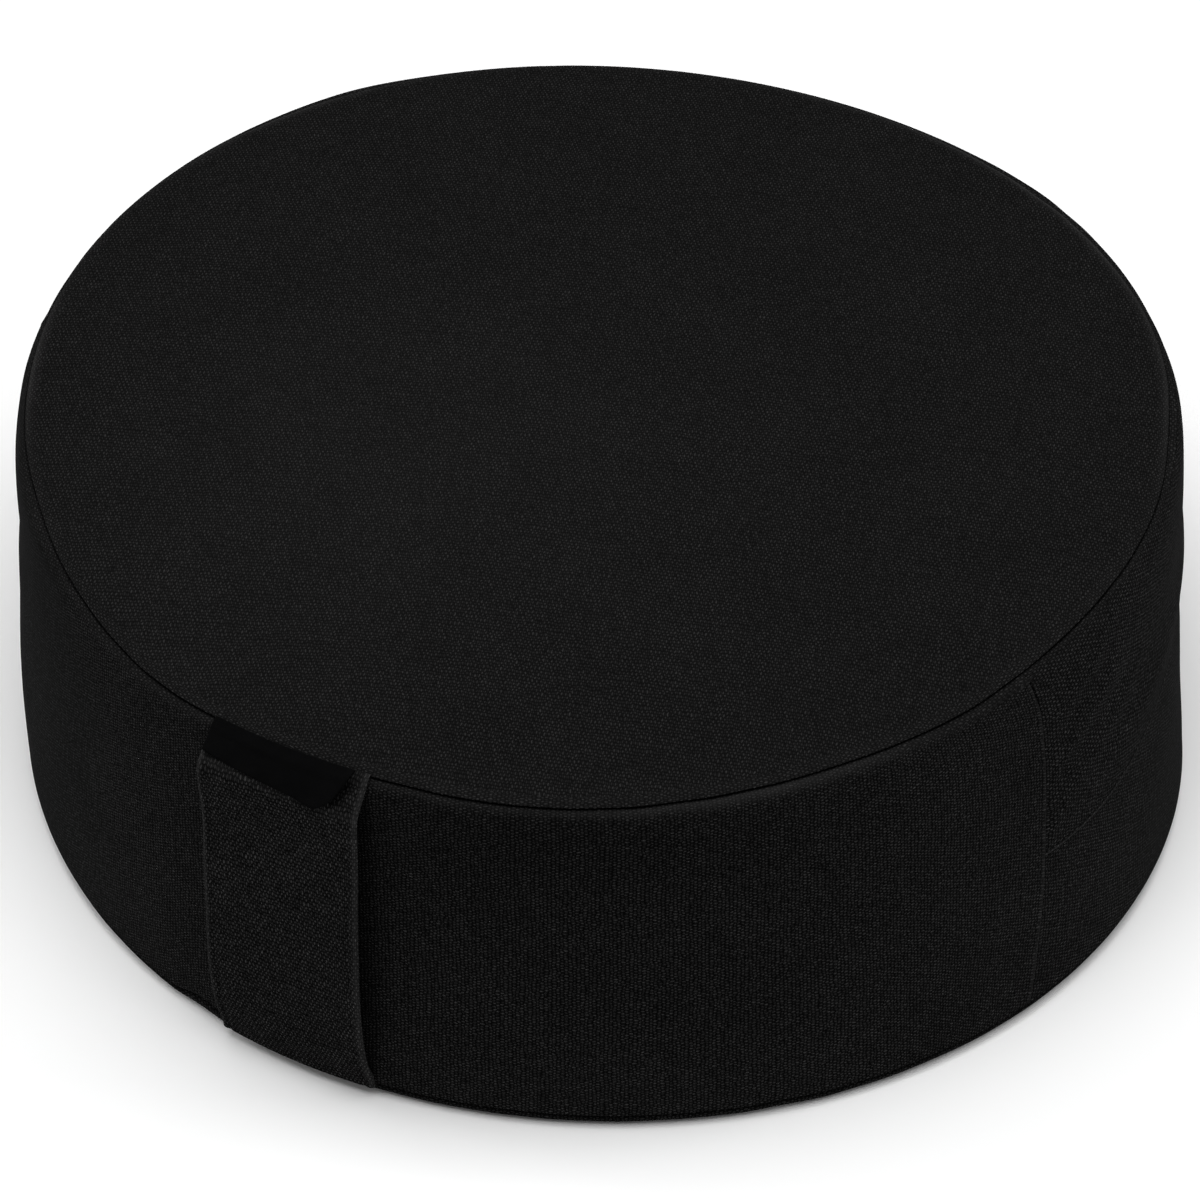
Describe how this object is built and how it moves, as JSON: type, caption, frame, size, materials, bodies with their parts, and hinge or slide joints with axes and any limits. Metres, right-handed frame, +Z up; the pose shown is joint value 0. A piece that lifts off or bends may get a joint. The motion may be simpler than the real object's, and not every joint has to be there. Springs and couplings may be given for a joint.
{
  "type": "zafu meditation cushion",
  "caption": "Round black canvas floor cushion, low and firmly filled, with a gently crowned top, a wide carrying strap sewn over its side, a plain label and a concealed zip flap round the back.",
  "frame": {"origin": "middle of the flat base, on the surface that the cushion rests on", "axes": "+Z up through the crown; -Y towards the carrying strap; +X to the right of the strap as a viewer faces it"},
  "size_m": [0.4108, 0.4091, 0.1538],
  "materials": {
    "canvas": "matte black plain-woven cotton canvas",
    "flap_canvas": "matte black plain-woven cotton canvas",
    "strap_canvas": "matte black plain-woven cotton canvas, folded double",
    "label_cloth": "smooth dense black woven label, plain"
  },
  "bodies": {
    "root": {"cushion": "canvas", "zip_lap": "flap_canvas", "handle_strap": "strap_canvas", "label": "label_cloth"}
  },
  "joints": []
}
